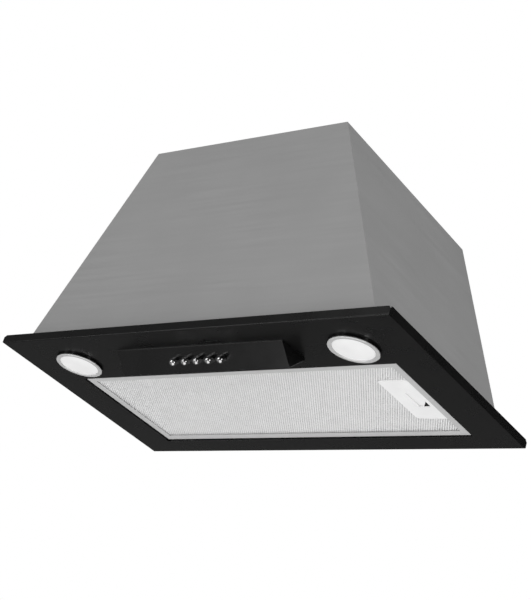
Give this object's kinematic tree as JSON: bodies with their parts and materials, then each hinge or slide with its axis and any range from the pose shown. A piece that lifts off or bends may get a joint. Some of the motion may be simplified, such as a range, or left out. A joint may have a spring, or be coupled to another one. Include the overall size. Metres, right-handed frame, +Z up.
{
  "type": "built-in cooker hood",
  "caption": "Built-in canopy cooker hood: black face plate with round lamps, sloping push-button strip and latched mesh grease filter, under a tapered grey blower casing.",
  "frame": {"origin": "middle of the plane of the face plate's rim, which meets the underside of the cabinet", "axes": "+Z up as installed, +X to the right seen from the front, -Y towards the front"},
  "size_m": [0.525, 0.285, 0.316],
  "materials": {
    "black_sheet": "semi-gloss black lacquer",
    "black_plastic": "satin black",
    "button_chrome": "polished",
    "casing_grey": "matt grey",
    "bright_steel": "zinc plated",
    "collar_plastic": "moulded black",
    "flap_plastic": "moulded dark grey",
    "frame_aluminium": "satin",
    "mesh_aluminium": "bright foil",
    "latch_plastic": "moulded light grey",
    "bezel_plastic": "white",
    "lens_frosted": "frosted",
    "circuit_board": "white solder mask",
    "blower_steel": "galvanised",
    "impeller_plastic": "moulded black",
    "motor_steel": "dark grey",
    "capacitor_white": "white",
    "box_plastic": "moulded grey",
    "terminal_plastic": "moulded white",
    "switch_plastic": "moulded black",
    "lead_sleeve": "matt sleeve"
  },
  "bodies": {
    "root": {"cable_gland": "collar_plastic", "capacitor": "capacitor_white", "capacitor_clip": "bright_steel", "casing_front": "casing_grey", "casing_left": "casing_grey", "casing_rear": "casing_grey", "casing_right": "casing_grey", "casing_top": "casing_grey", "collar_screws": "bright_steel", "control_housing": "black_plastic", "cover_screws": "bright_steel", "face_plate": "black_sheet", "housing_screws": "bright_steel", "inlet_ring_front": "collar_plastic", "inlet_ring_rear": "collar_plastic", "lamp_bezel_left": "bezel_plastic", "lamp_bezel_right": "bezel_plastic", "lamp_board_left": "circuit_board", "lamp_board_right": "circuit_board", "lamp_clips_left": "bright_steel", "lamp_clips_right": "bright_steel", "lamp_housing_left": "black_plastic", "lamp_housing_right": "black_plastic", "lamp_lead_left": "lead_sleeve", "lamp_lead_right": "lead_sleeve", "lamp_lens_left": "lens_frosted", "lamp_lens_right": "lens_frosted", "motor_body": "motor_steel", "motor_bracket": "bright_steel", "motor_lead": "lead_sleeve", "motor_screws": "bright_steel", "neck_screws": "bright_steel", "outlet_collar": "collar_plastic", "plate_nuts": "bright_steel", "scroll_front": "blower_steel", "scroll_rear": "blower_steel", "scroll_screws": "bright_steel", "switch_block": "switch_plastic", "switch_brackets": "bright_steel", "switch_lead": "lead_sleeve", "terminal_block": "terminal_plastic", "terminal_box": "box_plastic", "terminal_cover": "box_plastic"},
    "filter": {"filter_frame": "frame_aluminium", "filter_mesh_lower": "mesh_aluminium", "filter_mesh_inner": "mesh_aluminium", "filter_mesh_upper": "mesh_aluminium", "filter_lugs": "frame_aluminium", "latch_housing": "latch_plastic"},
    "latch": {"latch_slider": "latch_plastic"},
    "rotor": {"motor_shaft": "bright_steel", "impeller": "impeller_plastic"},
    "flap_left": {"flap_left": "flap_plastic"},
    "flap_right": {"flap_right": "flap_plastic"},
    "button_1": {"button_1": "button_chrome"},
    "button_2": {"button_2": "button_chrome"},
    "button_3": {"button_3": "button_chrome"},
    "button_4": {"button_4": "button_chrome"},
    "button_5": {"button_5": "button_chrome"}
  },
  "joints": [
    {"name": "filter_swing", "type": "hinge", "parent": "root", "child": "filter", "pos_m": [-0.2135, 0.0317, -0.008], "axis": [0, 1, 0], "range_deg": [0, 78]},
    {"name": "latch_slide", "type": "slide", "parent": "filter", "child": "latch", "axis": [-1, 0, 0], "range_m": [0, 0.0055], "stiffness_N_per_m": 200, "springref_m": -0.006},
    {"name": "fan_spin", "type": "hinge", "parent": "root", "child": "rotor", "pos_m": [-0.075, 0, 0.12], "axis": [0, 1, 0], "continuous": true},
    {"name": "flap_left_swing", "type": "hinge", "parent": "root", "child": "flap_left", "pos_m": [-0.0032, 0, 0.2516], "axis": [0, 1, 0], "range_deg": [0, 80]},
    {"name": "flap_right_swing", "type": "hinge", "parent": "root", "child": "flap_right", "pos_m": [0.0032, 0, 0.2516], "axis": [0, -1, 0], "range_deg": [0, 80]},
    {"name": "button_1_press", "type": "slide", "parent": "root", "child": "button_1", "axis": [0, 0.6399, 0.7685], "range_m": [0, 0.004], "stiffness_N_per_m": 400, "springref_m": -0.003},
    {"name": "button_2_press", "type": "slide", "parent": "root", "child": "button_2", "axis": [0, 0.6399, 0.7685], "range_m": [0, 0.004], "stiffness_N_per_m": 400, "springref_m": -0.003},
    {"name": "button_3_press", "type": "slide", "parent": "root", "child": "button_3", "axis": [0, 0.6399, 0.7685], "range_m": [0, 0.004], "stiffness_N_per_m": 400, "springref_m": -0.003},
    {"name": "button_4_press", "type": "slide", "parent": "root", "child": "button_4", "axis": [0, 0.6399, 0.7685], "range_m": [0, 0.004], "stiffness_N_per_m": 400, "springref_m": -0.003},
    {"name": "button_5_press", "type": "slide", "parent": "root", "child": "button_5", "axis": [0, 0.6399, 0.7685], "range_m": [0, 0.004], "stiffness_N_per_m": 400, "springref_m": -0.003}
  ]
}
